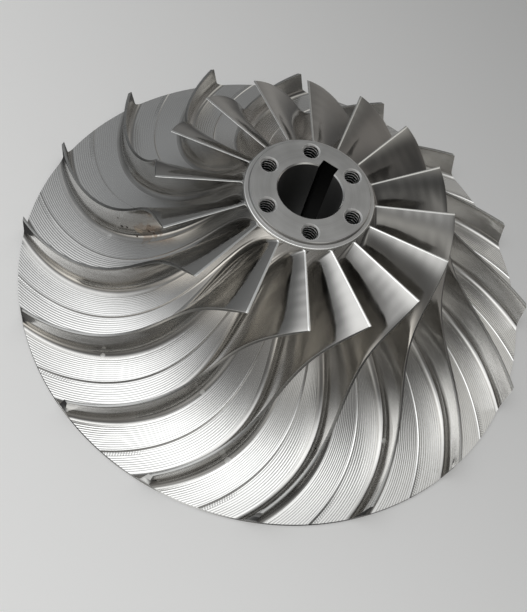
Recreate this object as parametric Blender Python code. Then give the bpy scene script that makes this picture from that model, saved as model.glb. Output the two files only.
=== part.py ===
# Open centrifugal impeller with sixteen backswept blades, milled from one aluminium billet.
# Metres. +Z points along the shaft axis to the nose. The origin is the centre of the back face.

from math import cos, pi, radians, sin

import bmesh
import bpy
import numpy as np

# Disc and hub
OUTER_RADIUS = 0.130
RIM_THICKNESS = 0.0018
TOTAL_HEIGHT = 0.078
HUB_TOP_RADIUS = 0.0315
HUB_TOP_HEIGHT = 0.0745
HUB_CURVE_DOWN = (0.0372, 0.0576)
HUB_CURVE_OUT = (0.0534, 0.0048)
DISC_TOP_HEIGHT = 0.012
BODY_TOP_HEIGHT = 0.050
SEAT_GAP = 0.0003

# Nose
FACE_RADIUS = 0.0285
STEP_DEPTH = 0.0018
LEDGE_RADIUS = 0.0303
EDGE_BREAK = 0.0003

# Bore and keyway
BORE_RADIUS = 0.015
BORE_CHAMFER = 0.0006
KEY_WIDTH = 0.008
KEY_BOTTOM_RADIUS = 0.0187

# Tapped holes in the nose face
HOLE_COUNT = 6
HOLE_CIRCLE_RADIUS = 0.0224
FIRST_HOLE_ANGLE = radians(30)
HOLE_RADIUS = 0.0034
HOLE_CHAMFER_RADIUS = 0.0041
HOLE_DEPTH = 0.018

# Blades: the inlet edge is at the nose end and the outlet edge at the rim
BLADE_COUNT = 16
INLET_TIP_RADIUS = 0.06935
INLET_TIP_HEIGHT = 0.0740
OUTLET_WIDTH = 0.01375
TIP_CURVE_DOWN = (0.0724, 0.0575)
TIP_CURVE_OUT = (0.0756, 0.0186)
FIRST_INLET_TIP_ANGLE = radians(8.55)
TIP_WRAP = radians(48.93)
TIP_TURN_AT_INLET = radians(31.2)
TIP_TURN_AT_OUTLET = radians(28.4)
INLET_LEAN = radians(3.72)
OUTLET_LEAN = radians(1.20)
ROOT_TURN_AT_INLET = radians(41.8)
ROOT_TURN_AT_OUTLET = radians(44.8)
ROOT_LEAD = 0.3
ROOT_THICKNESS = 0.0028
TIP_THICKNESS = 0.0014
INLET_THINNING = 0.45
INLET_TAPER_LENGTH = 0.08

# Fineness of the meshes
RING_SEGMENTS = 64
HOLE_SEGMENTS = 18
BLADE_STATIONS = 18
BLADE_ROWS = 4

BLADE_PITCH = 2 * pi / BLADE_COUNT


def clear_scene():
    for obj in list(bpy.data.objects):
        bpy.data.objects.remove(obj, do_unlink=True)


def make_material(name, colour, roughness):
    material = bpy.data.materials.new(name)
    material.use_nodes = True
    shader = material.node_tree.nodes["Principled BSDF"]
    shader.inputs["Base Color"].default_value = (*colour, 1)
    shader.inputs["Roughness"].default_value = roughness
    shader.inputs["Metallic"].default_value = 1
    return material


def cubic(start, start_handle, end_handle, end, s):
    """A point of a cubic Bezier curve for each parameter in s, from 0 to 1."""
    s = np.asarray(s, dtype=float)[..., None]
    rest = 1 - s
    return (
        rest**3 * np.array(start)
        + 3 * rest**2 * s * np.array(start_handle)
        + 3 * rest * s**2 * np.array(end_handle)
        + s**3 * np.array(end)
    )


def root_curve(s):
    """Radius, height and angle of a blade's root on the hub, from inlet to outlet."""
    inlet = FIRST_INLET_TIP_ANGLE - INLET_LEAN
    outlet = FIRST_INLET_TIP_ANGLE - TIP_WRAP - OUTLET_LEAN
    return cubic(
        (HUB_TOP_RADIUS, HUB_TOP_HEIGHT, inlet),
        (*HUB_CURVE_DOWN, inlet - ROOT_TURN_AT_INLET),
        (*HUB_CURVE_OUT, outlet + ROOT_TURN_AT_OUTLET),
        (OUTER_RADIUS, RIM_THICKNESS, outlet),
        s,
    )


def tip_curve(s):
    """Radius, height and angle of a blade's free edge, from inlet to outlet."""
    inlet = FIRST_INLET_TIP_ANGLE
    outlet = inlet - TIP_WRAP
    return cubic(
        (INLET_TIP_RADIUS, INLET_TIP_HEIGHT, inlet),
        (*TIP_CURVE_DOWN, inlet - TIP_TURN_AT_INLET),
        (*TIP_CURVE_OUT, outlet + TIP_TURN_AT_OUTLET),
        (OUTER_RADIUS, RIM_THICKNESS + OUTLET_WIDTH, outlet),
        s,
    )


def root_lead(s):
    """How far along the root the straight line lands that leaves the free edge at s.

    It runs a little ahead between the two ends, so that the lines stand more squarely on
    the hub.
    """
    return s + ROOT_LEAD * s * (1 - s)


def hub_parameter(height):
    """The parameter at which the hub curve has this height, found by halving."""
    low, high = 0.0, 1.0
    for _ in range(40):
        middle = (low + high) / 2
        if root_curve(middle)[1] > height:
            low = middle
        else:
            high = middle
    return low


def hub_profile(top, bottom, steps):
    """Points (radius, height) down the hub curve between two heights."""
    s = np.linspace(hub_parameter(top), hub_parameter(bottom), steps + 1)
    return [tuple(point) for point in root_curve(s)[:, :2]]


def link_mesh(name, mesh, material, parent):
    obj = bpy.data.objects.new(name, mesh)
    bpy.context.scene.collection.objects.link(obj)
    obj.parent = parent
    if material:
        mesh.materials.append(material)
        mesh.shade_smooth()
        mesh.set_sharp_from_angle(angle=radians(30))
    return obj


def turned(name, profile, segments, material=None, parent=None, closed=True):
    """A solid of revolution about Z. An open profile starts and ends on the axis."""
    bm = bmesh.new()
    points = [bm.verts.new((radius, 0, height)) for radius, height in profile]
    edges = [bm.edges.new(pair) for pair in zip(points, points[1:])]
    if closed:
        edges.append(bm.edges.new((points[-1], points[0])))
    bmesh.ops.spin(
        bm,
        geom=points + edges,
        cent=(0, 0, 0),
        axis=(0, 0, 1),
        angle=2 * pi,
        steps=segments,
        use_merge=True,
    )
    bmesh.ops.remove_doubles(bm, verts=bm.verts, dist=1e-7)
    bmesh.ops.recalc_face_normals(bm, faces=bm.faces)
    mesh = bpy.data.meshes.new(name)
    bm.to_mesh(mesh)
    bm.free()
    return link_mesh(name, mesh, material, parent)


def as_cutter(obj):
    obj.hide_render = True
    obj.display_type = "WIRE"
    return obj


def cut(obj, cutter):
    modifier = obj.modifiers.new("cut " + cutter.name, "BOOLEAN")
    modifier.operation = "DIFFERENCE"
    modifier.solver = "EXACT"
    modifier.object = cutter


def make_keyway_cutter(parent):
    bm = bmesh.new()
    bmesh.ops.create_cube(bm, size=1)
    spare = 0.002
    height = TOTAL_HEIGHT + 2 * spare
    bmesh.ops.scale(bm, verts=bm.verts, vec=(KEY_BOTTOM_RADIUS, KEY_WIDTH, height))
    bmesh.ops.translate(bm, verts=bm.verts, vec=(KEY_BOTTOM_RADIUS / 2, 0, TOTAL_HEIGHT / 2))
    mesh = bpy.data.meshes.new("keyway_cutter")
    bm.to_mesh(mesh)
    bm.free()
    return as_cutter(link_mesh("keyway_cutter", mesh, None, parent))


def make_hole_cutters(parent):
    """Drilled holes with a 45 degree countersink at the nose face."""
    spare = 0.001
    countersink = HOLE_CHAMFER_RADIUS - HOLE_RADIUS
    profile = [
        (0, TOTAL_HEIGHT + spare),
        (HOLE_CHAMFER_RADIUS + spare, TOTAL_HEIGHT + spare),
        (HOLE_RADIUS, TOTAL_HEIGHT - countersink),
        (HOLE_RADIUS, TOTAL_HEIGHT - HOLE_DEPTH),
        (0, TOTAL_HEIGHT - HOLE_DEPTH - HOLE_RADIUS / 2),
    ]
    cutters = []
    for index in range(HOLE_COUNT):
        name = f"hole_cutter_{index + 1}"
        cutter = turned(name, profile, HOLE_SEGMENTS, parent=parent, closed=False)
        angle = FIRST_HOLE_ANGLE + index * 2 * pi / HOLE_COUNT
        cutter.location.x = HOLE_CIRCLE_RADIUS * cos(angle)
        cutter.location.y = HOLE_CIRCLE_RADIUS * sin(angle)
        cutters.append(as_cutter(cutter))
    return cutters


def make_back_disc(material, parent):
    profile = hub_profile(DISC_TOP_HEIGHT, RIM_THICKNESS, 8) + [
        (OUTER_RADIUS, 0),
        (BORE_RADIUS + BORE_CHAMFER, 0),
        (BORE_RADIUS, BORE_CHAMFER),
        (BORE_RADIUS, DISC_TOP_HEIGHT),
    ]
    return turned("back_disc", profile, RING_SEGMENTS, material, parent)


def make_hub_body(material, parent):
    bottom = DISC_TOP_HEIGHT + SEAT_GAP
    profile = hub_profile(BODY_TOP_HEIGHT, bottom, 12) + [
        (BORE_RADIUS, bottom),
        (BORE_RADIUS, BODY_TOP_HEIGHT),
    ]
    return turned("hub_body", profile, RING_SEGMENTS, material, parent)


def make_nose(material, parent):
    """The top of the hub, with a stepped collar round its turned face."""
    bottom = BODY_TOP_HEIGHT + SEAT_GAP
    ledge_height = TOTAL_HEIGHT - STEP_DEPTH
    profile = hub_profile(HUB_TOP_HEIGHT, bottom, 6) + [
        (BORE_RADIUS, bottom),
        (BORE_RADIUS, TOTAL_HEIGHT - BORE_CHAMFER),
        (BORE_RADIUS + BORE_CHAMFER, TOTAL_HEIGHT),
        (FACE_RADIUS - EDGE_BREAK, TOTAL_HEIGHT),
        (FACE_RADIUS, TOTAL_HEIGHT - EDGE_BREAK),
        (FACE_RADIUS, ledge_height),
        (LEDGE_RADIUS, ledge_height),
        ((LEDGE_RADIUS + HUB_TOP_RADIUS) / 2, ledge_height - EDGE_BREAK),
    ]
    return turned("nose", profile, RING_SEGMENTS, material, parent)


def blade_thickness(s, h):
    """Thinner from root to tip, and towards the inlet edge."""
    body = ROOT_THICKNESS + (TIP_THICKNESS - ROOT_THICKNESS) * h
    from_edge = np.clip(s / INLET_TAPER_LENGTH, 0, 1)
    return body * (1 - INLET_THINNING * (1 - from_edge) ** 2)


def blade_sides():
    """Both faces of a blade as grids of points, station by row.

    Straight lines join the root curve to the tip curve. The faces lie half the thickness
    to either side, measured square to the surface but laid off round the axis, so that the
    outlet edge stays on the rim's cylinder.
    """
    s = np.linspace(0, 1, BLADE_STATIONS)
    root = cartesian(root_curve(root_lead(s)))
    tip = cartesian(tip_curve(s))
    span = np.linalg.norm(tip - root, axis=1)
    h = SEAT_GAP / span[:, None] + (1 - SEAT_GAP / span[:, None]) * np.linspace(0, 1, BLADE_ROWS)
    points = root[:, None] + (tip - root)[:, None] * h[..., None]
    along = np.gradient(points, axis=0)
    normal = np.cross(along, (tip - root)[:, None])
    normal /= np.linalg.norm(normal, axis=2)[..., None]
    radius = np.hypot(points[..., 0], points[..., 1])
    angle = np.arctan2(points[..., 1], points[..., 0])
    round_axis = np.abs(normal[..., 1] * np.cos(angle) - normal[..., 0] * np.sin(angle))
    half_turn = blade_thickness(s[:, None], h) / 2 / radius / round_axis
    sides = []
    for sign in (1, -1):
        turned_angle = angle + sign * half_turn
        sides.append(cartesian(np.stack([radius, points[..., 2], turned_angle], axis=2)))
    return sides


def cartesian(polar):
    """Points from radius, height and angle."""
    radius, height, angle = polar[..., 0], polar[..., 1], polar[..., 2]
    return np.stack([radius * np.cos(angle), radius * np.sin(angle), height], axis=-1)


def make_blade_mesh():
    bm = bmesh.new()
    front, back = [
        [[bm.verts.new(point) for point in row] for row in side] for side in blade_sides()
    ]
    stations = range(BLADE_STATIONS - 1)
    rows = range(BLADE_ROWS - 1)
    for side in (front, back):
        for i in stations:
            for j in rows:
                bm.faces.new((side[i][j], side[i + 1][j], side[i + 1][j + 1], side[i][j + 1]))
    for i in stations:
        for j in (0, BLADE_ROWS - 1):
            bm.faces.new((front[i][j], front[i + 1][j], back[i + 1][j], back[i][j]))
    for j in rows:
        for i in (0, BLADE_STATIONS - 1):
            bm.faces.new((front[i][j], front[i][j + 1], back[i][j + 1], back[i][j]))
    bmesh.ops.triangulate(bm, faces=bm.faces)
    bmesh.ops.recalc_face_normals(bm, faces=bm.faces)
    mesh = bpy.data.meshes.new("blade")
    bm.to_mesh(mesh)
    bm.free()
    return mesh


def make_blades(material, parent):
    mesh = make_blade_mesh()
    for index in range(BLADE_COUNT):
        own_material = material if index == 0 else None
        blade = link_mesh(f"blade_{index + 1:02d}", mesh, own_material, parent)
        blade.rotation_euler.z = index * BLADE_PITCH


def build():
    clear_scene()
    axis = bpy.data.objects.new("shaft_axis", None)
    bpy.context.scene.collection.objects.link(axis)
    floor_metal = make_material("milled_floor", (0.80, 0.79, 0.77), 0.30)
    turned_metal = make_material("turned_face", (0.56, 0.56, 0.56), 0.38)
    blade_metal = make_material("milled_blade", (0.60, 0.59, 0.57), 0.26)
    back_disc = make_back_disc(floor_metal, axis)
    hub_body = make_hub_body(floor_metal, axis)
    nose = make_nose(turned_metal, axis)
    keyway_cutter = make_keyway_cutter(axis)
    for piece in (back_disc, hub_body, nose):
        cut(piece, keyway_cutter)
    for cutter in make_hole_cutters(axis):
        cut(nose, cutter)
    make_blades(blade_metal, axis)


build()
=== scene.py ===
from itertools import product

import bmesh
import bpy
import numpy as np
from mathutils import Euler, Matrix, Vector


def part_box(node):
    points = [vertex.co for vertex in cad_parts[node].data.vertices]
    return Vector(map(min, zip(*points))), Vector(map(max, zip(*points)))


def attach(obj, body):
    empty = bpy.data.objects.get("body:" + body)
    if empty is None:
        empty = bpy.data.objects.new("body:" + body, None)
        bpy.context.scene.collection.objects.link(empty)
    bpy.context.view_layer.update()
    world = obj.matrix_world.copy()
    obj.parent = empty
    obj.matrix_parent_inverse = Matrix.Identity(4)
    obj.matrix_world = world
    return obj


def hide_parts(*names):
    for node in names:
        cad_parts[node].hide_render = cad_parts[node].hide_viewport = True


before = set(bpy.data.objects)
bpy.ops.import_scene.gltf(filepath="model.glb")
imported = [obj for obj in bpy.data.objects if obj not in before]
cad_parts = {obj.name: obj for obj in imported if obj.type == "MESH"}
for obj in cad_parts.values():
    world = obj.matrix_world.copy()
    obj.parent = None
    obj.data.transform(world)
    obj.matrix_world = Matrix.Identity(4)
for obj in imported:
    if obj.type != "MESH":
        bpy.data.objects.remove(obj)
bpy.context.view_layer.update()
mm = 0.001
print("frame loaded:", len(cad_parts), "nodes")

bladeCount = 16
pitch = 2 * np.pi / bladeCount
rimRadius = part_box("back_disc")[1].x / mm - 0.01
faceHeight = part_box("nose")[1].z / mm

# lengths in mm, angles in degrees, for the first blade; control points are radius, height, angle
blade = {
    "root": [(30.4, 75.3, 4.83), (37.2, 57.6, -36.97), (53.4, 4.8, 3.22), (rimRadius, 1.8, -41.58)],
    "tip": [(69.35, 74.0, 8.55), (72.4, 57.5, -22.65), (75.6, 18.6, -11.98), (rimRadius, 15.55, -40.38)],
    "rootLead": 0.3,          # how far the straight lines run ahead along the root
    "rootThickness": 2.8,
    "tipThickness": 1.4,
    "inletThickness": 0.4,
    "inletTaper": 0.08,       # as a share of the blade
    "inletRounding": 0.0025,  # as a share of the blade
    "fillet": (1.0, 4.9, 4.0, 2.6),   # radius along the root, as a cubic curve
    "tipRounding": 0.2,
    "skirt": 0.6,             # how deep the foot sinks into the floor
    "rows": 140,
    "rowSpread": (0.75, 0.25),        # place along the root = 0.75 x + 0.25 x^2, closer near the inlet
    "inletRows": (0, 0.04, 0.15, 0.35, 0.65, 1.0),   # places of the rows in the rounded inlet edge
    "footInset": 0.3,         # how far the foot stands in from the fillet's edge
    "filletSteps": 8,
    "sideSteps": 13,
    "edgeRows": 5,            # rows at the inlet with the deburred finish
    "crease": 40,             # degrees, past which an edge is sharp
}


# Curves and meshes

def bernstein(controls, s):
    # cubic curve: each control value times its binomial weight, (1-s)^3, 3s(1-s)^2, 3s^2(1-s), s^3
    controls = np.asarray(controls, dtype=float)
    s = np.asarray(s, dtype=float)[..., None]
    weights = np.concatenate([(1 - s) ** 3, 3 * s * (1 - s) ** 2, 3 * s**2 * (1 - s), s**3], axis=-1)
    return weights @ controls


def cartesian(radius, height, angle):
    # x = r cos a, y = r sin a, z = height
    return np.stack(np.broadcast_arrays(radius * np.cos(angle), radius * np.sin(angle), height), axis=-1)


def turned(points, angle):
    # each point turned about the shaft axis by its own angle
    x, y, z = points[..., 0], points[..., 1], points[..., 2]
    return np.stack(np.broadcast_arrays(
        x * np.cos(angle) - y * np.sin(angle), x * np.sin(angle) + y * np.cos(angle), z), axis=-1)


def lead(s):
    # root parameter of the straight line that leaves the tip at s: s + lead * s (1 - s)
    return s + blade["rootLead"] * s * (1 - s)


def rootPolar(s):
    curve = bernstein(blade["root"], s)
    return curve[..., 0], curve[..., 1], np.radians(curve[..., 2])


def rootPoint(s):
    return cartesian(*rootPolar(lead(s)))


def tipPoint(s):
    curve = bernstein(blade["tip"], s)
    return cartesian(curve[..., 0], curve[..., 1], np.radians(curve[..., 2]))


def slope(function, s):
    # central difference of a curve
    small = 1e-4
    return (function(s + small) - function(s - small)) / (2 * small)


def hubNormal(s):
    # unit normal of the hub's outline, as radius and height: its slope turned by a quarter
    tangent = slope(lambda q: bernstein(blade["root"], q)[..., :2], s)
    return np.stack([-tangent[:, 1], tangent[:, 0]], axis=-1) / np.linalg.norm(tangent, axis=1)[:, None]


def bladePoint(s, up, out):
    # root + up * (unit line to the tip), then turned about the axis by out / (r * |n . way of turning|).
    # n is the unit normal (d/ds) x (line to the tip), so that out is a distance square to the blade
    root, tip = rootPoint(s), tipPoint(s)
    line = tip - root
    h = (up / np.linalg.norm(line, axis=-1))[..., None]
    point = root + line * h
    along = slope(rootPoint, s) * (1 - h) + slope(tipPoint, s) * h
    normal = np.cross(along, line)
    normal /= np.linalg.norm(normal, axis=-1)[..., None]
    radius = np.hypot(point[..., 0], point[..., 1])
    squareness = np.abs(normal[..., 1] * point[..., 0] - normal[..., 0] * point[..., 1]) / radius
    return turned(point, out / (radius * squareness))


def rootSquareness(s):
    # the same |n . direction of turning| on the root itself
    root, line = rootPoint(s), tipPoint(s) - rootPoint(s)
    normal = np.cross(slope(rootPoint, s), line)
    normal /= np.linalg.norm(normal, axis=-1)[..., None]
    radius = np.hypot(root[..., 0], root[..., 1])
    return np.abs(normal[..., 1] * root[..., 0] - normal[..., 0] * root[..., 1]) / radius


def flowRows():
    # the rows' places as shares of the curve and as mm along the root: a few in the rounded inlet edge,
    # then the rest, closer near the inlet
    fine = np.linspace(0, 1, 2001)
    length = np.concatenate([[0], np.cumsum(np.linalg.norm(np.diff(rootPoint(fine), axis=0), axis=1))])
    x = np.linspace(0, 1, blade["rows"])
    even, growing = blade["rowSpread"]
    body = np.interp(length[-1] * (even * x + growing * x**2), length, fine)
    edge = blade["inletRounding"] * np.array(blade["inletRows"])
    rows = np.concatenate([edge, body[body > 1.4 * blade["inletRounding"]]])
    return rows, np.interp(rows, fine, length)


def halfThickness(s, h):
    # half of (root + (tip - root) h), thinner towards the inlet, with a quarter-ellipse at the inlet edge
    body = blade["rootThickness"] + (blade["tipThickness"] - blade["rootThickness"]) * h
    thinner = (body - blade["inletThickness"]) * (1 - np.clip(s / blade["inletTaper"], 0, 1)) ** 2
    x = np.clip(s / blade["inletRounding"], 0.01, 1)
    return (body - thinner) / 2 * np.sqrt(1 - (1 - x) ** 2)


def filletRadius(s):
    return bernstein(np.array(blade["fillet"])[:, None], s)[..., 0]


def filletEdge(s):
    # how far from the middle of the blade its fillet meets the floor
    return halfThickness(s, 0) + filletRadius(s)


def gridQuads(rows, columns, first=0, ring=False):
    # corners of the quads between neighbouring rows and columns
    index = first + np.arange(rows * columns).reshape(rows, columns)
    if ring:
        index = np.concatenate([index, index[:, :1]], axis=1)
    corners = [index[:-1, :-1], index[1:, :-1], index[1:, 1:], index[:-1, 1:]]
    return np.stack(corners, axis=-1).reshape(-1, 4)


def putMesh(name, points, quads, polygons=()):
    # quads as an array of corners, longer polygons as lists; points in mm
    corners = np.concatenate([np.ravel(quads), *polygons]).astype(np.int32)
    sizes = np.concatenate([np.full(len(quads), 4), [len(polygon) for polygon in polygons]])
    starts = np.concatenate([[0], np.cumsum(sizes)[:-1]]).astype(np.int32)
    mesh = bpy.data.meshes.new(name)
    mesh.vertices.add(len(points))
    mesh.vertices.foreach_set("co", (np.asarray(points) * mm).astype(np.float32).ravel())
    mesh.loops.add(len(corners))
    mesh.loops.foreach_set("vertex_index", corners)
    mesh.polygons.add(len(starts))
    mesh.polygons.foreach_set("loop_start", starts)
    mesh.update(calc_edges=True)
    work = bmesh.new()
    work.from_mesh(mesh)
    bmesh.ops.recalc_face_normals(work, faces=work.faces)
    work.to_mesh(mesh)
    work.free()
    return mesh


def setVectors(mesh, name, vectors):
    # three numbers for each vertex, which the materials read by name
    layer = mesh.attributes.new(name, "FLOAT_VECTOR", "POINT")
    layer.data.foreach_set("vector", np.asarray(vectors, dtype=np.float32).ravel())


def sharpen(mesh, angle, crest=None):
    # smooth faces with sharp edges past an angle, and along lines of crest vertices
    mesh.shade_smooth()
    mesh.set_sharp_from_angle(angle=np.radians(angle))
    if crest is None:
        return
    ends = np.empty(len(mesh.edges) * 2, dtype=np.int32)
    mesh.edges.foreach_get("vertices", ends)
    sharp = mesh.attributes["sharp_edge"]
    flags = np.empty(len(mesh.edges), dtype=bool)
    sharp.data.foreach_get("value", flags)
    flags |= crest[ends].reshape(-1, 2).all(axis=1)
    sharp.data.foreach_set("value", flags)
    mesh.update()


def centresAndNormals(mesh):
    centre, normal = np.empty((2, len(mesh.polygons) * 3))
    mesh.polygons.foreach_get("center", centre)
    mesh.polygons.foreach_get("normal", normal)
    return centre.reshape(-1, 3) / mm, normal.reshape(-1, 3)


def onRim(mesh):
    # faces of the rim's cylinder: far out, with the normal along the radius
    centre, normal = centresAndNormals(mesh)
    radius = np.hypot(centre[:, 0], centre[:, 1])
    outward = (centre[:, 0] * normal[:, 0] + centre[:, 1] * normal[:, 1]) / np.maximum(radius, 1)
    return (radius > rimRadius - 0.4) & (outward > 0.9)


def addPiece(name, mesh, materials, nodes, kinds=None):
    # materials by name, and kinds: which of them each face takes
    obj = bpy.data.objects.new(name, mesh)
    bpy.context.scene.collection.objects.link(obj)
    mesh.materials.clear()
    for material in materials:
        mesh.materials.append(metals[material])
    if kinds is not None:
        mesh.polygons.foreach_set("material_index", kinds.astype(np.int32))
    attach(obj, "root")
    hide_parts(*nodes)
    return obj


# Materials

def newMaterial(name, colour, roughness, metallic=1.0):
    material = bpy.data.materials.new(name)
    material.use_nodes = True
    shader = material.node_tree.nodes["Principled BSDF"]
    shader.inputs["Base Color"].default_value = (*colour, 1)
    shader.inputs["Roughness"].default_value = roughness
    shader.inputs["Metallic"].default_value = metallic
    return material, material.node_tree, shader


def plug(tree, node, values):
    # each value is a number, a tuple or another node's socket
    for key, value in values.items():
        if isinstance(value, bpy.types.NodeSocket):
            tree.links.new(value, node.inputs[key])
        else:
            node.inputs[key].default_value = value


def calc(tree, operation, *values):
    node = tree.nodes.new("ShaderNodeMath")
    node.operation = operation
    plug(tree, node, dict(enumerate(values)))
    return node.outputs[0]


def vectorCalc(tree, operation, *values, output="Vector"):
    node = tree.nodes.new("ShaderNodeVectorMath")
    node.operation = operation
    plug(tree, node, dict(enumerate(values)))
    return node.outputs[output]


def objectPlace(tree):
    return tree.nodes.new("ShaderNodeTexCoord").outputs["Object"]


def attribute(tree, name):
    node = tree.nodes.new("ShaderNodeAttribute")
    node.attribute_name = name
    return node.outputs["Vector"]


def parts(tree, vector):
    node = tree.nodes.new("ShaderNodeSeparateXYZ")
    plug(tree, node, {"Vector": vector})
    return node.outputs["X"], node.outputs["Y"], node.outputs["Z"]


def noise(tree, vector, scale, detail=2.0):
    # smooth random value around 0.5; scale is in blotches for each unit along x, y, z
    node = tree.nodes.new("ShaderNodeTexNoise")
    spread = vectorCalc(tree, "MULTIPLY", vector, scale)
    plug(tree, node, {"Vector": spread, "Scale": 1.0, "Detail": detail})
    return node.outputs["Fac"]


def ramp(tree, value, start, end, low=0.0, high=1.0):
    # low before start, high after end, smooth between
    node = tree.nodes.new("ShaderNodeMapRange")
    node.interpolation_type = "SMOOTHSTEP"
    plug(tree, node, {"Value": value, "From Min": start, "From Max": end, "To Min": low, "To Max": high})
    return node.outputs["Result"]


def tint(tree, factor, first, second):
    node = tree.nodes.new("ShaderNodeMix")
    node.data_type = "RGBA"
    colours = {key: value if isinstance(value, bpy.types.NodeSocket) else (*value, 1)
               for key, value in ((6, first), (7, second))}
    plug(tree, node, {0: factor, **colours})
    return node.outputs[2]


def blend(tree, mask, first, second):
    # first * (1 - mask) + second * mask, for single numbers
    return calc(tree, "ADD", calc(tree, "MULTIPLY", first, calc(tree, "SUBTRACT", 1.0, mask)),
                calc(tree, "MULTIPLY", mask, second))


def flatDirection(degrees):
    # level unit vector, turned from X towards Y
    a = np.radians(degrees)
    return np.cos(a), np.sin(a), 0.0


def bump(tree, shader, height, depth):
    # depth in mm
    node = tree.nodes.new("ShaderNodeBump")
    plug(tree, node, {"Height": height, "Distance": depth * mm})
    tree.links.new(node.outputs["Normal"], shader.inputs["Normal"])


def dress(tree, shader, colour, rough):
    tree.links.new(colour, shader.inputs["Base Color"])
    tree.links.new(rough, shader.inputs["Roughness"])


finish = {
    "floorBright": (0.88, 0.875, 0.86),
    "floorPlain": 0.16,                 # roughness for a viewer that doesn't read the nodes
    # the dark line colour below is painted shade along the ridges' edges
    "floorLineShade": (0.30, 0.30, 0.29),
    "floorRoughness": (0.15, 0.24),
    "floorGrain": 0.0015,               # mm
    "lineShadeWidth": 0.20,                # of a ridge, each side of its edge
    "lineShadeDepth": (0.25, 0.7),         # least and most, as a share of the painted line shade colour
    "grooveRoughness": 0.12,            # added in the grooves
    "smoothEnd": (66, 80),              # mm along: no lines before, full lines after
    "lineShadeSide": 220,                   # degrees from X towards Y: the side where the painted shade lines are strongest
    "lineShadeReach": (-0.35, 0.15),        # cosine from that side where the lines start, and where they are full
    "hatchPitch": 1.3,                  # mm
    "hatchSlant": 1.6,
    "hatchWidth": 1.8,                  # mm past the seam
    "hatchFade": (0.1, 0.3),            # mm, at the seam and at the far side
    "hatchReach": (12.0, 22.0),         # mm before the rim: full up to the first, none past the second
    "hatchDepth": 0.6,                  # share of the dark colour of the painted shade lines
    "bladeLight": (0.68, 0.67, 0.65),
    "bladeDark": (0.60, 0.59, 0.57),
    "bladePlain": 0.25,                 # as floorPlain
    "bladeRoughness": (0.13, 0.19),
    "inletShade": 0.86,                 # share of the dark colour
    "inletReach": (5.0, 45.0),          # mm along where it fades out
    "lineShadeRate": (0.05, 0.3, 0.0),       # blotches for each mm along and across, in the painted shade lines
    "streakRate": (0.25, 4.0, 0.0),     # the same for the cutter's streaks
    "blotchRate": (0.06, 0.10, 0.0),    # the same for the blades' faces, along and up
    "waveRate": (0.035, 0.11, 0.0),     # the same for their soft waves
    "waveDepth": 0.4,                   # mm
    "turnedSpread": 0.15,               # share that the roughness varies by
    "ringRate": 1.7,                    # rings for each mm
    "ringDepth": 0.004,                 # mm
    "cloudRate": 90.0,                  # blotches for each metre
    "wideSpan": (0.3, 0.7),             # a noise is low below the first value and high above the second
    "narrowSpan": (0.35, 0.65),
    "markRate": 0.45,                   # bays for each mm of a mark's edge
    "markRagged": 1.6,                  # how far they reach, as a share of its radius
    "markCore": 0.7,                    # share of its radius where it starts to fade
}


marks = {                 # place and radius in mm, colour, roughness, strength
    "stain": ((-33.2, 62.5, 24.5), 6.5, (0.50, 0.41, 0.34), 0.30, 0.6),
    "stainEnd": ((-31.8, 58.0, 28.0), 4.5, (0.42, 0.33, 0.27), 0.30, 0.6),
    "stainPale": ((-33.8, 65.6, 22.0), 2.2, (0.90, 0.78, 0.64), 0.28, 0.7),
    "speck1": ((-35.8, 76.6, 25.3), 0.7, (0.10, 0.09, 0.08), 0.5, 0.9),
    "speck2": ((-35.0, 74.4, 19.4), 1.0, (0.10, 0.09, 0.08), 0.5, 0.9),
    "speck3": ((-34.8, 71.6, 20.8), 0.8, (0.10, 0.09, 0.08), 0.5, 0.9),
    "speck4": ((-32.6, 60.2, 30.1), 0.6, (0.12, 0.10, 0.08), 0.5, 0.9),
    "speck5": ((-32.2, 60.6, 24.8), 0.7, (0.12, 0.10, 0.08), 0.5, 0.9),
    "speck6": ((-34.4, 65.6, 18.1), 0.8, (0.15, 0.12, 0.10), 0.5, 0.9),
    "scrape1": ((-38.6, 79.1, 10.5), 1.6, (0.97, 0.97, 0.96), 0.40, 0.5),
    "scrape2": ((-41.7, 81.7, 9.2), 1.3, (0.97, 0.97, 0.96), 0.40, 0.5),
    "blendMark": ((-91.7, 42.9, 6.2), 1.1, (1.0, 1.0, 0.98), 0.5, 1.0),
    "bright1": ((-48.9, -89.3, 7.3), 1.4, (1.0, 1.0, 0.98), 0.5, 1.0),
    "bright2": ((-82.2, -6.1, 12.6), 1.3, (1.0, 1.0, 0.98), 0.5, 1.0),
    "bright3": ((-100.1, -33.2, 5.0), 1.6, (1.0, 1.0, 0.98), 0.5, 1.0),
    "nickShade1": ((-127.6, -12.6, 6.5), 0.65, (0.08, 0.08, 0.08), 0.5, 1.0),
    "nickShine1": ((-126.6, -13.6, 5.8), 0.8, (1.0, 1.0, 1.0), 0.4, 1.0),
    "nickShade2": ((-39.7, -122.0, 10.9), 0.8, (0.10, 0.10, 0.10), 0.5, 1.0),
    "nickShade3": ((-114.7, -58.3, 12.5), 0.9, (0.10, 0.10, 0.10), 0.5, 1.0),
}


def addMarks(tree, colour, rough):
    # each mark is a ball of its radius with a ragged edge, laid over the metal's colour and roughness
    place = vectorCalc(tree, "MULTIPLY", objectPlace(tree), (1 / mm,) * 3)
    ragged = calc(tree, "SUBTRACT", noise(tree, place, (finish["markRate"],) * 3, 3.0), 0.5)
    for centre, radius, markColour, markRoughness, strength in marks.values():
        distance = vectorCalc(tree, "DISTANCE", place, centre, output="Value")
        bays = calc(tree, "MULTIPLY", ragged, finish["markRagged"] * radius)
        distance = calc(tree, "ADD", distance, bays)
        mask = ramp(tree, distance, finish["markCore"] * radius, radius, strength, 0.0)
        colour = tint(tree, mask, colour, markColour)
        rough = blend(tree, mask, rough, markRoughness)
    return colour, rough


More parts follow.
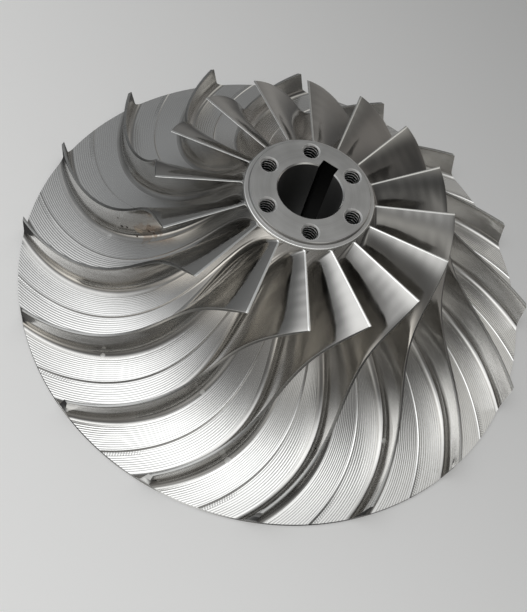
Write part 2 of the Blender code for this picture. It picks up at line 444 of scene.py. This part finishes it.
def milledFloorMetal():
    # flow holds mm along, mm across and the count of ridges, and a ridge's edges are at whole counts.
    # seam holds mm past the seam and mm before the rim
    material, tree, shader = newMaterial("milledFloor", finish["floorBright"], finish["floorPlain"])
    flow = attribute(tree, "flow")
    ridge = calc(tree, "FRACT", parts(tree, flow)[2])
    toEdge = calc(tree, "MINIMUM", ridge, calc(tree, "SUBTRACT", 1.0, ridge))
    # painted shade: dark lines along the ridges' edges, of random strength, strongest on one side of the part
    # and none near the hub
    line = ramp(tree, toEdge, 0.0, finish["lineShadeWidth"], 1.0, 0.0)
    lineShade = ramp(tree, noise(tree, flow, finish["lineShadeRate"]), *finish["wideSpan"], *finish["lineShadeDepth"])
    place = vectorCalc(tree, "NORMALIZE", vectorCalc(tree, "MULTIPLY", objectPlace(tree), (1.0, 1.0, 0.0)))
    side = vectorCalc(tree, "DOT_PRODUCT", place, flatDirection(finish["lineShadeSide"]), output="Value")
    lineShade = calc(tree, "MULTIPLY", lineShade, ramp(tree, side, *finish["lineShadeReach"]))
    lineShade = calc(tree, "MULTIPLY", lineShade, ramp(tree, parts(tree, flow)[0], *finish["smoothEnd"]))
    pastSeam, beforeRim, _ = parts(tree, attribute(tree, "seam"))
    hatch = calc(tree, "MULTIPLY_ADD", pastSeam, finish["hatchSlant"], beforeRim)
    hatch = calc(tree, "FRACT", calc(tree, "DIVIDE", hatch, finish["hatchPitch"]))
    hatch = calc(tree, "LESS_THAN", hatch, 0.5)
    width, (firstFade, lastFade) = finish["hatchWidth"], finish["hatchFade"]
    inBand = calc(tree, "MULTIPLY", ramp(tree, pastSeam, 0.0, firstFade),
                  ramp(tree, pastSeam, width, width + lastFade, 1.0, 0.0))
    inBand = calc(tree, "MULTIPLY", inBand, ramp(tree, beforeRim, *finish["hatchReach"], 1.0, 0.0))
    inBand = calc(tree, "MULTIPLY", inBand, finish["hatchDepth"])
    dark = calc(tree, "MAXIMUM", calc(tree, "MULTIPLY", line, lineShade), calc(tree, "MULTIPLY", hatch, inBand))
    streak = noise(tree, flow, finish["streakRate"], 3.0)
    rough = calc(tree, "ADD", ramp(tree, streak, *finish["wideSpan"], *finish["floorRoughness"]),
                 calc(tree, "MULTIPLY", dark, finish["grooveRoughness"]))
    colour = tint(tree, dark, finish["floorBright"], finish["floorLineShade"])
    dress(tree, shader, *addMarks(tree, colour, rough))
    bump(tree, shader, streak, finish["floorGrain"])
    return material


def milledBladeMetal():
    # flow holds mm along, mm up the face and mm above the floor
    material, tree, shader = newMaterial("milledBlade", finish["bladeLight"], finish["bladePlain"])
    flow = attribute(tree, "flow")
    blotch = noise(tree, flow, finish["blotchRate"], 3.0)
    rough = ramp(tree, blotch, *finish["narrowSpan"], *finish["bladeRoughness"])
    colour = tint(tree, ramp(tree, blotch, *finish["wideSpan"]), finish["bladeDark"], finish["bladeLight"])
    shade = ramp(tree, parts(tree, flow)[0], *finish["inletReach"], 1.0, 0.0)
    colour = tint(tree, shade, colour, np.array(finish["bladeDark"]) * finish["inletShade"])
    dress(tree, shader, *addMarks(tree, colour, rough))
    bump(tree, shader, noise(tree, flow, finish["waveRate"], 1.0), finish["waveDepth"])
    return material


def turnedMetalWith(name, light, dark, roughness):
    # rings about the shaft axis, as noise of the distance from it alone, mixed with soft clouds
    material, tree, shader = newMaterial(name, light, roughness)
    place = vectorCalc(tree, "MULTIPLY", objectPlace(tree), (1.0, 1.0, 0.0))
    radius = vectorCalc(tree, "LENGTH", place, output="Value")
    ringPlace = calc(tree, "MULTIPLY", radius, 1.0 / mm)
    rings = noise(tree, ringPlace, (finish["ringRate"],) * 3, 4.0)
    cloud = noise(tree, place, (finish["cloudRate"],) * 3, 2.0)
    mix = calc(tree, "ADD", calc(tree, "MULTIPLY", rings, 0.5), calc(tree, "MULTIPLY", cloud, 0.5))
    colour = tint(tree, ramp(tree, mix, *finish["narrowSpan"]), dark, light)
    spread = finish["turnedSpread"]
    rough = ramp(tree, mix, *finish["wideSpan"], roughness * (1 - spread), roughness * (1 + spread))
    dress(tree, shader, colour, rough)
    bump(tree, shader, rings, finish["ringDepth"])
    return material


turnedMetals = {          # light and dark colour, roughness
    "turnedFace": ((0.61, 0.605, 0.595), (0.53, 0.526, 0.515), 0.38),
    # the bore's dark colour is painted shade inside the hole
    "bore": ((0.26, 0.26, 0.26), (0.22, 0.22, 0.22), 0.6),
    "turnedRim": ((0.62, 0.62, 0.61), (0.54, 0.54, 0.53), 0.15),
    "turnedTip": ((0.50, 0.50, 0.49), (0.42, 0.42, 0.41), 0.30),
}

smallMetals = {           # colour, roughness
    "deburredEdge": ((1.0, 1.0, 0.98), 0.22),
    # near black: painted shade in the keyway
    "keyway": ((0.02, 0.02, 0.02), 0.5),
    "threadCrest": ((0.97, 0.97, 0.96), 0.3),
    # near black: painted shade in the thread's roots; the crests keep a bright metal
    "threadRootShade": ((0.02, 0.02, 0.02), 0.5),
    "countersink": ((0.97, 0.97, 0.96), 0.5),
}

metals = {"milledFloor": milledFloorMetal(), "milledBlade": milledBladeMetal()}
for name, values in turnedMetals.items():
    metals[name] = turnedMetalWith(name, *values)
for name, values in smallMetals.items():
    metals[name] = newMaterial(name, *values)[0]
print("metals:", len(metals))


# Blades

def bladeColumns(s):
    # one side of the section, foot to tip: a quarter-circle fillet, the straight side, the rounded tip.
    # fillet: out = half thickness + R (1 - sin f), up = R (1 - cos f)
    span = np.linalg.norm(tipPoint(s) - rootPoint(s), axis=-1)[:, None]
    row = s[:, None]
    radius = filletRadius(s)[:, None]
    f = np.linspace(0, np.pi / 2, blade["filletSteps"] + 1)
    filletUp = radius * (1 - np.cos(f))
    filletOut = halfThickness(row, filletUp / span) + radius * (1 - np.sin(f))
    rounding = blade["tipRounding"]
    climb = np.linspace(0, 1, blade["sideSteps"] + 1)[1:]
    sideUp = radius + (span - rounding - radius) * climb
    sideOut = halfThickness(row, sideUp / span)
    turn = np.radians([30, 60, 90])
    tipUp = span - rounding * (1 - np.sin(turn))
    tipOut = np.maximum(halfThickness(row, 1.0) - rounding * (1 - np.cos(turn)), 0.02)
    up = np.concatenate([filletUp, sideUp, tipUp], axis=1)
    out = np.concatenate([filletOut, sideOut, tipOut], axis=1)
    return up, out


def makeBladeMesh(s, length):
    up, out = bladeColumns(s)
    row = np.repeat(s[:, None], up.shape[1], axis=1)
    plus = bladePoint(row, up, out)
    minus = bladePoint(row, up, -out)
    foot = np.full((len(s), 1), -blade["skirt"])
    footOut = out[:, :1] - blade["footInset"]
    plusFoot = bladePoint(row[:, :1], foot, footOut)
    minusFoot = bladePoint(row[:, :1], foot, -footOut)
    loop = np.concatenate([plusFoot, plus, minus[:, ::-1], minusFoot], axis=1)
    columns = loop.shape[1]
    loop[-1, [0, -1], :2] *= 1 - 0.1 / rimRadius        # the foot's last row stays inside the rim
    quads = [gridQuads(len(s), columns, ring=True)]
    half = columns // 2
    for first in (0, (len(s) - 1) * columns):        # the ladder that closes each end
        left = first + np.arange(half)
        right = first + columns - 1 - np.arange(half)
        quads.append(np.stack([left[:-1], left[1:], right[1:], right[:-1]], axis=-1))
    mesh = putMesh("blade", loop.reshape(-1, 3), np.concatenate(quads))
    side = np.concatenate([foot, up], axis=1)
    levels = np.concatenate([side, side[:, ::-1]], axis=1)
    across = np.concatenate([side, -side[:, ::-1] - 20], axis=1)        # the back has its own pattern
    along = np.repeat(length[:, None], columns, axis=1)
    setVectors(mesh, "flow", np.stack([along, across, levels], axis=-1))
    sharpen(mesh, blade["crease"])
    kinds = np.zeros(len(mesh.polygons), dtype=np.int32)
    sides = kinds[:(len(s) - 1) * columns].reshape(-1, columns)
    tipFirst = blade["filletSteps"] + 1 + blade["sideSteps"]
    sides[:, tipFirst:columns - 1 - tipFirst] = 1
    sides[:blade["edgeRows"], 1:-2] = 2
    kinds[onRim(mesh)] = 3
    return mesh, kinds


def dent(mesh, centre, radius, push):
    # points within the radius move by push * (1 - (distance / radius)^2)
    points = np.empty(len(mesh.vertices) * 3)
    mesh.vertices.foreach_get("co", points)
    points = points.reshape(-1, 3) / mm
    closeness = np.clip(1 - (np.linalg.norm(points - centre, axis=1) / radius) ** 2, 0, 1)
    mesh.vertices.foreach_set("co", ((points + closeness[:, None] * push) * mm).ravel())
    mesh.update()


nicks = {                 # blade number: place, radius and push, in mm
    11: [((-128.6, -12.0, 7.5), 1.6, (0.7, 0.2, -0.5))],
    12: [((-114.9, -58.6, 13.2), 1.8, (0.5, 0.3, -0.8))],
    14: [((-39.9, -122.6, 11.6), 2.0, (0.1, 0.7, -0.8))],
}


def makeBlades(s, length):
    base, kinds = makeBladeMesh(s, length)
    for index in range(bladeCount):
        mesh = base.copy()
        mesh.transform(Matrix.Rotation(index * pitch, 4, "Z"))
        for place, radius, push in nicks.get(index + 1, []):
            dent(mesh, place, radius, push)
        addPiece(f"blade{index + 1:02d}", mesh, ["milledBlade", "turnedTip", "deburredEdge", "turnedRim"],
                 [f"blade_{index + 1:02d}"], kinds)
    print("blades:", bladeCount, "of", len(base.polygons), "faces")


# Floor of the passages

floor = {
    "minusRidges": 10,        # from the seam to the fillet of the blade
    "plusRidges": 12,         # from the smooth band beside the fillet to the next seam
    "stepsPerRidge": 4,
    "ballRadius": 2.6,        # mm, of the cutter that left the ridges
    "bandWidth": 0.008,       # of a passage, smooth beside the fillet
    "bandSteps": 3,
    "seamCurve": (0.568, -0.389, 0.256, 1.362),   # share of the passage, as a cubic of s - seamMiddle
    "seamMiddle": 0.6,
    "seamCrest": 0.2,         # mm high
    "seamSlope": 0.6,         # mm, how wide each side of the crest is
    "seamGrowth": 0.25,       # of the blade, over which the crest grows to its full height
    "hiddenDip": 0.3,         # mm, how far the floor sinks inside the blade
    "thickness": 1.4,
    "undersideSteps": 12,
    "hiddenSteps": 6,
    "crease": 40,
}


def seamShare(s):
    # where the cutter's two sides met, as a share of the passage past the blade
    x = s - floor["seamMiddle"]
    a, b, c, d = floor["seamCurve"]
    return a + b * x + c * x**2 + d * x**3


def scallops(count):
    # the columns' places across some ridges, the parabola (2x - 1)^2 of each, and which are crests
    steps = floor["stepsPerRidge"]
    place = np.arange(count * steps + 1) / (count * steps)
    x = np.arange(count * steps + 1) % steps / steps
    return place, (2 * x - 1) ** 2, x == 0


def floorStops(s, across):
    # angles from the blade where the floor changes: seam, fillet, fillet, end of the smooth band, seam
    edge = filletEdge(s) / across
    seam = seamShare(lead(s)) * pitch
    return [seam - pitch, -edge, edge, edge + floor["bandWidth"] * pitch, seam]


def ridgeRise(width, count, shape):
    # mm above the hub: step^2 / (8 * ball radius) times the parabola of each ridge
    return ((width / count) ** 2)[:, None] / (8 * floor["ballRadius"]) * shape


def floorColumns(s, across):
    # by row and column: angle from the blade and mm above the hub; by column: count of ridges, is it a crest
    stops = floorStops(s, across)
    minusPlace, minusShape, minusCrest = scallops(floor["minusRidges"])
    plusPlace, plusShape, plusCrest = scallops(floor["plusRidges"])
    hidden = np.arange(1, floor["hiddenSteps"]) / floor["hiddenSteps"]
    smooth = np.arange(floor["bandSteps"]) / floor["bandSteps"]
    stretches = zip(stops, stops[1:], [minusPlace, hidden, smooth, plusPlace])
    angle = np.concatenate([a[:, None] + (b - a)[:, None] * place for a, b, place in stretches], axis=1)
    minusRise = ridgeRise((stops[1] - stops[0]) * across, floor["minusRidges"], minusShape)
    plusRise = ridgeRise((stops[4] - stops[3]) * across, floor["plusRidges"], plusShape)
    minusRise[:, -1] = 0
    plusRise[:, 0] = 0
    hiddenRise = np.repeat(-floor["hiddenDip"] * np.sin(np.pi * hidden)[None], len(s), axis=0)
    rise = np.concatenate([minusRise, hiddenRise, np.zeros((len(s), len(smooth))), plusRise], axis=1)
    plain = np.zeros(len(hidden) + len(smooth))      # half a count there keeps the drawn lines away
    count = np.concatenate([minusPlace * floor["minusRidges"], plain - 0.5, plusPlace * floor["plusRidges"]])
    crest = np.concatenate([minusCrest, plain > 0, plusCrest])
    return angle, rise, count, crest


def seamRise(s, fromFirst, fromLast):
    # a small crest along both seams, growing from the inlet over a share of the blade
    near = np.clip(1 - np.minimum(fromFirst, -fromLast) / floor["seamSlope"], 0, 1)
    return floor["seamCrest"] * np.clip(s / floor["seamGrowth"], 0, 1)[:, None] * near


def sheetFaces(rows, columns, picks):
    # quads of a closed sheet whose underside has only the picked columns, and polygons for its two ends
    few = len(picks)
    top = np.arange(rows * columns).reshape(rows, columns)
    low = rows * columns + np.arange(rows * few).reshape(rows, few)
    walls = [np.stack([top[:-1, e], top[1:, e], low[1:, e], low[:-1, e]], axis=-1) for e in (0, -1)]
    quads = np.concatenate([gridQuads(rows, columns), gridQuads(rows, few, rows * columns), *walls])
    ends = [[*top[r, a:b + 1], low[r, j + 1], low[r, j]]
            for r in (0, -1) for j, (a, b) in enumerate(zip(picks, picks[1:]))]
    return quads, ends


def makeFloorMesh(s, length):
    # a sheet over the hub curve from one seam to the next: angle by columns, radius and height by rows,
    # raised along the hub's normal by the ridges and the crests of the seams
    radius, height, angle = rootPolar(lead(s))
    normal = hubNormal(lead(s))
    across = radius * rootSquareness(s)                  # mm square to the flow for each radian
    columnAngle, rise, count, crest = floorColumns(s, across)
    fromFirst = (columnAngle - columnAngle[:, :1]) * across[:, None]
    fromLast = (columnAngle - columnAngle[:, -1:]) * across[:, None]
    rise += seamRise(s, fromFirst, fromLast)
    top = cartesian(np.minimum(radius[:, None] + rise * normal[:, :1], rimRadius),
                    height[:, None] + rise * normal[:, 1:], angle[:, None] + columnAngle)
    picks = np.unique(np.linspace(0, len(count) - 1, floor["undersideSteps"] + 1).round().astype(int))
    lowRadius = np.minimum(radius - floor["thickness"] * normal[:, 0], rimRadius)
    lowRadius[-1] = rimRadius
    lowHeight = height - floor["thickness"] * normal[:, 1]
    under = cartesian(lowRadius[:, None], lowHeight[:, None], angle[:, None] + columnAngle[:, picks])
    points = np.concatenate([top.reshape(-1, 3), under.reshape(-1, 3)])
    mesh = putMesh("floor", points, *sheetFaces(len(s), len(count), picks))

    beforeBlade = np.arange(len(count)) <= floor["minusRidges"] * floor["stepsPerRidge"]
    pastSeam = np.where(beforeBlade, fromFirst, fromLast)
    flow = np.stack(np.broadcast_arrays(length[:, None], columnAngle * across[:, None], count), axis=-1)
    seam = np.stack(np.broadcast_arrays(pastSeam, length[-1] - length[:, None], 0.0), axis=-1)
    for name, vectors in (("flow", flow), ("seam", seam)):
        setVectors(mesh, name, np.concatenate([vectors.reshape(-1, 3), vectors[:, picks].reshape(-1, 3)]))
    lowCrests = np.zeros(len(s) * len(picks), dtype=bool)
    sharpen(mesh, floor["crease"], np.concatenate([np.tile(crest, len(s)), lowCrests]))
    return mesh


def makeFloors(s, length):
    base = makeFloorMesh(s, length)
    for index in range(bladeCount):
        mesh = base.copy()
        mesh.transform(Matrix.Rotation(index * pitch, 4, "Z"))
        addPiece(f"floor{index + 1:02d}", mesh, ["milledFloor", "turnedRim"],
                 ["back_disc", "hub_body"], onRim(mesh))
    print("floors:", bladeCount, "of", len(base.polygons), "faces")


# Hub, nose and bore

core = {                  # mm
    "lipRadius": 30.35, "lipRounding": 0.7,
    "stepDepth": 1.8, "cornerRounding": 0.6,
    "faceRadius": 28.0, "edgeBreak": 0.25,
    "boreRadius": 15.0, "boreChamfer": 0.6,
    "keyWidth": 8.0, "keyBottom": 18.7,
    "holeCount": 6, "holeCircle": 22.4, "holeRadius": 4.46, "holeDepth": 20.0,
    "firstHole": 30,          # degrees
    "underFloor": 1.0,        # how far it lies below the floors
    "lipTuck": 0.9,           # how far the lip's foot reaches in and down, under the floors
    "rimTuck": (0.3, 0.7),    # the outline's first point: in from the rim, up from the back
    "rimBreak": (0.2, 0.1),   # the same for the broken edge of the back
    "rimTop": 0.38,           # where the floors' edge takes over
    "crease": 25,             # degrees
    "segments": 256, "holeSegments": 48,
}


def coreProfile():
    # closed outline of radius and height: under the floors, round the lip, over the ledge and the face,
    # down the bore, along the back
    s = np.linspace(1, 0, 40)[:-1]
    radius, height, _ = rootPolar(s)
    hidden = np.stack([radius, height], axis=-1) - core["underFloor"] * hubNormal(s)
    tuckIn, tuckUp = core["rimTuck"]
    hidden[0] = rimRadius - tuckIn, tuckUp
    turn = np.linspace(0, np.pi / 2, 9)
    ledge = faceHeight - core["stepDepth"]
    rounding = core["lipRounding"]
    lip = np.stack([core["lipRadius"] - rounding * (1 - np.cos(turn)),
                    ledge - rounding * (1 - np.sin(turn))], axis=-1)
    face, edge = core["faceRadius"], core["edgeBreak"]
    bore, chamfer = core["boreRadius"], core["boreChamfer"]
    rounding = core["cornerRounding"]
    corner = np.stack([face + rounding * (1 - np.sin(turn)), ledge + rounding * (1 - np.cos(turn))], axis=-1)
    breakIn, breakUp = core["rimBreak"]
    rest = [(face, faceHeight - edge), (face - edge, faceHeight),
            (bore + chamfer, faceHeight), (bore, faceHeight - chamfer),
            (bore, chamfer), (bore + chamfer, 0),
            (rimRadius - breakIn, 0), (rimRadius, breakUp), (rimRadius, core["rimTop"])]
    lipFoot = blade["root"][0][1]
    foot = [(core["lipRadius"] - core["lipTuck"], lipFoot - core["lipTuck"]), (core["lipRadius"], lipFoot)]
    return np.concatenate([hidden[:-1], foot, lip, corner, rest])


def lathe(name, profile, segments):
    # the profile turned about the axis: x = r cos a, y = r sin a
    angle = np.arange(segments) * 2 * np.pi / segments
    points = cartesian(profile[:, :1], profile[:, 1:], angle[None])
    rows = np.concatenate([points, points[:1]])
    quads = gridQuads(len(rows), segments, ring=True) % (len(profile) * segments)
    return putMesh(name, points.reshape(-1, 3), quads)


def boxMesh(name, low, high):
    corners = np.array(list(product(*zip(low, high))))
    quads = np.array([(0, 1, 3, 2), (4, 6, 7, 5), (0, 4, 5, 1), (2, 3, 7, 6), (0, 2, 6, 4), (1, 5, 7, 3)])
    return putMesh(name, corners, quads)


def holeMesh(name, centre):
    # a plain drill: wall and two flat ends
    steps = core["holeSegments"]
    angle = np.arange(steps) * 2 * np.pi / steps
    levels = (faceHeight - core["holeDepth"], faceHeight + 1)
    rings = [cartesian(core["holeRadius"], z, angle) for z in levels]
    points = np.concatenate(rings) + np.array([*centre, 0])
    ends = [list(range(steps)), list(range(steps, 2 * steps))]
    return putMesh(name, points, gridQuads(2, steps, ring=True), ends)


def holeCentres():
    angle = np.radians(core["firstHole"]) + np.arange(core["holeCount"]) * 2 * np.pi / core["holeCount"]
    return core["holeCircle"] * np.stack([np.cos(angle), np.sin(angle)], axis=-1)


def coreKinds(mesh):
    # which metal a face takes, from its middle: 0 turned, 1 bore, 2 rim, 3 keyway, 4 broken edges
    slack, corner = 0.1, 1.5            # mm; the keyway's corners lie past its bottom and the bore's edge
    middle, normal = centresAndNormals(mesh)
    x, y, level = middle.T
    reach = np.hypot(x, y)
    top = faceHeight - core["boreChamfer"] - slack
    within = (level > core["boreChamfer"] + slack) & (level < top)
    inside = within & (reach < core["keyBottom"] + slack)
    keyway = within & (reach > core["boreRadius"] + slack) & (reach < core["keyBottom"] + corner)
    keyway &= (x > core["boreRadius"] - corner) & (np.abs(y) < core["keyWidth"] / 2 + slack)
    tilted = (normal[:, 2] > 0.1) & (normal[:, 2] < 0.98)
    onLip = (reach > core["lipRadius"] - core["lipRounding"]) & (level > faceHeight - core["stepDepth"] - 0.5)
    return np.select([keyway, inside, onRim(mesh), tilted & (onLip | (level > top))], [3, 1, 2, 4], 0)


def makeCore():
    blank = lathe("hubCore", coreProfile(), core["segments"])
    obj = addPiece("hubCore", blank, ["turnedFace"], ["nose", "hub_body", "back_disc"])
    half = core["keyWidth"] / 2
    cutters = [boxMesh("keyway", (0, -half, -1), (core["keyBottom"], half, faceHeight + 1))]
    cutters += [holeMesh(f"hole{k + 1}", centre) for k, centre in enumerate(holeCentres())]
    for mesh in cutters:
        cutter = bpy.data.objects.new(mesh.name, mesh)
        bpy.context.scene.collection.objects.link(cutter)
        modifier = obj.modifiers.new(mesh.name, "BOOLEAN")
        modifier.operation = "DIFFERENCE"
        modifier.solver = "EXACT"
        modifier.object = cutter
    bpy.context.view_layer.update()
    cut = bpy.data.meshes.new_from_object(obj.evaluated_get(bpy.context.evaluated_depsgraph_get()))
    for modifier in list(obj.modifiers):
        cutter = modifier.object
        obj.modifiers.remove(modifier)
        bpy.data.objects.remove(cutter)
    obj.data = cut
    sharpen(cut, core["crease"])
    cut.materials.clear()
    for material in ("turnedFace", "bore", "turnedRim", "keyway", "deburredEdge"):
        cut.materials.append(metals[material])
    cut.polygons.foreach_set("material_index", coreKinds(cut).astype(np.int32))
    print("core:", len(cut.polygons), "faces")


thread = {                # mm
    "crest": 3.35, "root": 3.95, "outer": 4.5,      # radii
    "countersink": 4.4,                             # radius at the face
    "rise": 1.8, "depth": 17.0,
    "flank": 1.25,            # how steep the wave is, which leaves a flat along the root
    "crestFlat": 0.12,        # share of the wave that is cut off along the crest
    "rootStart": 0.15,        # mm past the crest where the painted shade of the root begins
    "inset": 0.01,            # mm below the face
    "turnSteps": 48, "stepsPerRise": 10,
    "crease": 30,             # degrees
}


def threadMesh(centre):
    # inner wall radius = crest + (root - crest) * triangle wave of (depth / rise + angle / turn),
    # widened by a 45 degree countersink
    steps = np.arange(0, thread["depth"] / thread["rise"] * thread["stepsPerRise"])
    levels = steps / thread["stepsPerRise"] * thread["rise"]
    angle = np.arange(thread["turnSteps"]) * 2 * np.pi / thread["turnSteps"]
    depth = np.concatenate([levels, [thread["depth"]]])[:, None]
    phase = (depth / thread["rise"] + angle[None] / (2 * np.pi)) % 1
    wave = np.clip(thread["flank"] * (1 - np.abs(2 * phase - 1)) - thread["crestFlat"], 0, 1)
    cut = thread["crest"] + (thread["root"] - thread["crest"]) * wave
    inner = np.maximum(cut, thread["countersink"] - depth)
    outer = np.full((1, len(angle)), thread["outer"])
    radius = np.concatenate([outer, inner, outer])
    z = faceHeight - thread["inset"] - np.concatenate([depth[:1], depth, depth[-1:]])
    points = cartesian(radius, z, angle[None]) + np.array([*centre, 0])
    quads = gridQuads(len(radius) + 1, len(angle), ring=True) % points[..., 0].size
    return putMesh("thread", points.reshape(-1, 3), quads)


def makeThreads():
    for index, centre in enumerate(holeCentres()):
        mesh = threadMesh(centre)
        sharpen(mesh, thread["crease"])
        middle, _ = centresAndNormals(mesh)
        # faces past the crest take the painted shade of the root
        inRoot = np.hypot(*(middle[:, :2] - centre).T) > thread["crest"] + thread["rootStart"]
        inCountersink = middle[:, 2] > faceHeight - (thread["countersink"] - thread["crest"])
        kinds = np.select([inCountersink, inRoot], [2, 1], 0)
        addPiece(f"tappedThread{index + 1}", mesh, ["threadCrest", "threadRootShade", "countersink"],
                 ["nose"], kinds)
    print("threads:", len(mesh.polygons), "faces each")


# Stage, light and camera

studio = {
    "floorSize": 40.0,                  # m
    "floorColour": (0.75, 0.75, 0.745),
    "floorRoughness": 0.9,
    "floorGlow": 0.27,                  # painted light: the paper glows so that it stays pale
    "paintedLightSide": 154,                    # degrees from X towards Y: where the painted light on the paper is brightest
    "paintedLightReach": (-0.46, 0.39),         # m towards it where the brightness starts and stops to grow
    "paintedLightShares": (0.50, 1.32),         # share of the colour at those places
    "ambient": 0.042,
}

lights = {                # angle from X towards Y, height and half width in degrees; brightness; colour
    "overheadPanel": (348, 89, 17.5, 1.54, (0.99, 1.0, 1.0)),
    "leftWall": (156, 0, 15.6, 1.14, (1.0, 0.96, 0.89)),
    "ceilingGlow": (102, 60, 15.9, 0.99, (0.98, 0.99, 1.0)),
    "secondPanel": (136, 50, 15.8, 0.55, (0.98, 0.99, 1.0)),
    "farWall": (1, 0, 20.6, 0.30, (1.0, 0.97, 0.93)),
    "backWindow": (109, 14, 15.9, 0.18, (0.95, 0.98, 1.0)),
    "rightWall": (315, 2, 18.7, 0.20, (1.0, 0.94, 0.88)),
    "nearWall": (207, 0, 32.3, 0.20, (1.0, 0.96, 0.90)),
    "sideWindow": (50, 26, 28.7, 0.19, (0.95, 0.98, 1.0)),
    "nearWindow": (242, 40, 15.0, 0.42, (1.0, 0.99, 0.95)),
    "farPanel": (336, 47, 12.0, 0.60, (1.0, 0.98, 0.92)),
    "paperGlow": (184, -67, 10, 1.10, (1.0, 1.0, 0.98)),
}

view = {
    "place": (-0.2572, -0.0627, 0.4087),
    "turn": (29.404, -10.551, -57.991),     # degrees about X, Y, Z
    "lens": 55.12, "sensorWidth": 36,       # mm
}


def makeStage():
    half = studio["floorSize"] / 2
    mesh = bpy.data.meshes.new("stageFloor")
    corners = [(-half, -half, 0), (half, -half, 0), (half, half, 0), (-half, half, 0)]
    mesh.from_pydata(corners, [], [(0, 1, 2, 3)])
    stage = bpy.data.objects.new("stageFloor", mesh)
    bpy.context.scene.collection.objects.link(stage)
    colour = studio["floorColour"]
    material, tree, shader = newMaterial("stagePaper", colour, studio["floorRoughness"], 0.0)
    # painted light: the paper's colour and glow grow brighter towards one side
    paintedLightSide = flatDirection(studio["paintedLightSide"])
    along = vectorCalc(tree, "DOT_PRODUCT", objectPlace(tree), paintedLightSide, output="Value")
    shade = ramp(tree, along, *studio["paintedLightReach"], *studio["paintedLightShares"])
    shaded = vectorCalc(tree, "SCALE", colour)
    tree.links.new(shade, shaded.node.inputs["Scale"])
    tree.links.new(shaded, shader.inputs["Base Color"])
    tree.links.new(shaded, shader.inputs["Emission Color"])
    shader.inputs["Emission Strength"].default_value = studio["floorGlow"]
    mesh.materials.append(material)
    stage.visible_glossy = False            # the metal sees the paperGlow light in its place


def makeLight():
    # each light is a soft round patch of sky: brightness * exp(k (its direction . the look direction - 1)),
    # with k = ln 2 / (1 - cos(half width))
    world = bpy.data.worlds.new("studio")
    world.use_nodes = True
    tree = world.node_tree
    look = tree.nodes.new("ShaderNodeTexCoord").outputs["Generated"]
    total = (studio["ambient"],) * 3
    for side, height, halfWidth, brightness, colour in lights.values():
        a, h = np.radians((side, height))
        direction = (np.cos(h) * np.cos(a), np.cos(h) * np.sin(a), np.sin(h))
        sharpness = np.log(2) / (1 - np.cos(np.radians(halfWidth)))
        cosine = vectorCalc(tree, "DOT_PRODUCT", look, direction, output="Value")
        closeness = calc(tree, "SUBTRACT", cosine, 1.0)
        patch = calc(tree, "EXPONENT", calc(tree, "MULTIPLY", closeness, sharpness))
        total = vectorCalc(tree, "MULTIPLY_ADD", patch, tuple(brightness * c for c in colour), total)
    tree.links.new(total, tree.nodes["Background"].inputs["Color"])
    bpy.context.scene.world = world
    bpy.context.scene.view_settings.view_transform = "Standard"
    print("lights:", len(lights))


def makeCamera():
    camera = bpy.data.cameras.new("camera")
    camera.lens = view["lens"]
    camera.sensor_width = view["sensorWidth"]
    obj = bpy.data.objects.new("camera", camera)
    bpy.context.scene.collection.objects.link(obj)
    obj.location = view["place"]
    obj.rotation_euler = Euler(np.radians(view["turn"]), "XYZ")
    bpy.context.scene.camera = obj


makeCamera()
rows, rowLength = flowRows()
makeFloors(rows, rowLength)
makeBlades(rows, rowLength)
makeCore()
makeThreads()
makeStage()
makeLight()
